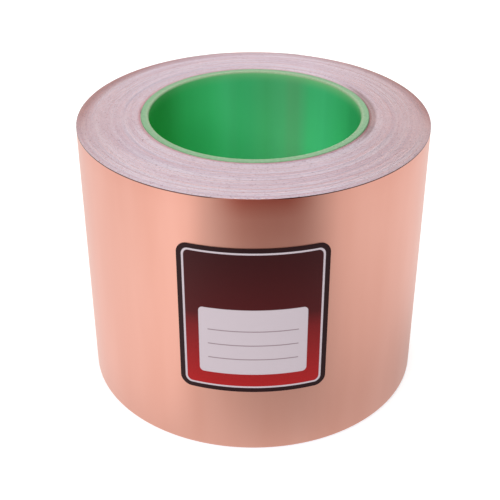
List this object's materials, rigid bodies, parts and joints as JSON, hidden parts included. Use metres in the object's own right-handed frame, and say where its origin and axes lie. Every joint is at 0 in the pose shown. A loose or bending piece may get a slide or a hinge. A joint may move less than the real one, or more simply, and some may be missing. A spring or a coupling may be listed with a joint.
{
  "type": "copper foil tape roll",
  "caption": "Wide roll of adhesive-backed copper foil tape wound with its release liner on a green plastic core, with a plain label and a free end under a tab.",
  "frame": {"origin": "on the roll's axis, at the lower end of the core, which is what the roll stands on", "axes": "+Z along the roll's axis, up when it stands on its rim; -Y towards the labelled front; +X to the right when the label is looked at"},
  "size_m": [0.1265, 0.1276, 0.1046],
  "materials": {
    "core_green": "extruded green plastic, glossy inside, paler on the cut rims",
    "tack_strip": "thin double-sided tape",
    "liner_paper": "silicone-coated release paper, slit edge",
    "adhesive": "clear tacky acrylic coat",
    "copper_foil": "bright rolled copper foil, satin, with fine rolling lines",
    "tab_film": "frosted film tape",
    "label_paper": "printed label paper, maroon with an off-white panel"
  },
  "bodies": {
    "roll": {"core_tube": "core_green", "core_tack_strip": "tack_strip", "liner_winding": "liner_paper", "adhesive_winding": "adhesive", "foil_winding": "copper_foil", "label": "label_paper"},
    "tail": {"foil_tail": "copper_foil", "adhesive_tail": "adhesive", "end_tab": "tab_film"},
    "liner_end": {"liner_tail": "liner_paper"}
  },
  "joints": [
    {"name": "tail_peel", "type": "hinge", "parent": "roll", "child": "tail", "pos_m": [-0.02786, 0.05781, 0], "axis": [0, 0, 1], "range_deg": [0, 75]},
    {"name": "liner_peel", "type": "hinge", "parent": "roll", "child": "liner_end", "pos_m": [-0.02768, 0.05744, 0], "axis": [0, 0, 1], "range_deg": [0, 34]}
  ],
  "couplings": [
    {"joint": "liner_peel", "follows": "tail_peel", "ratio": 0.45}
  ]
}
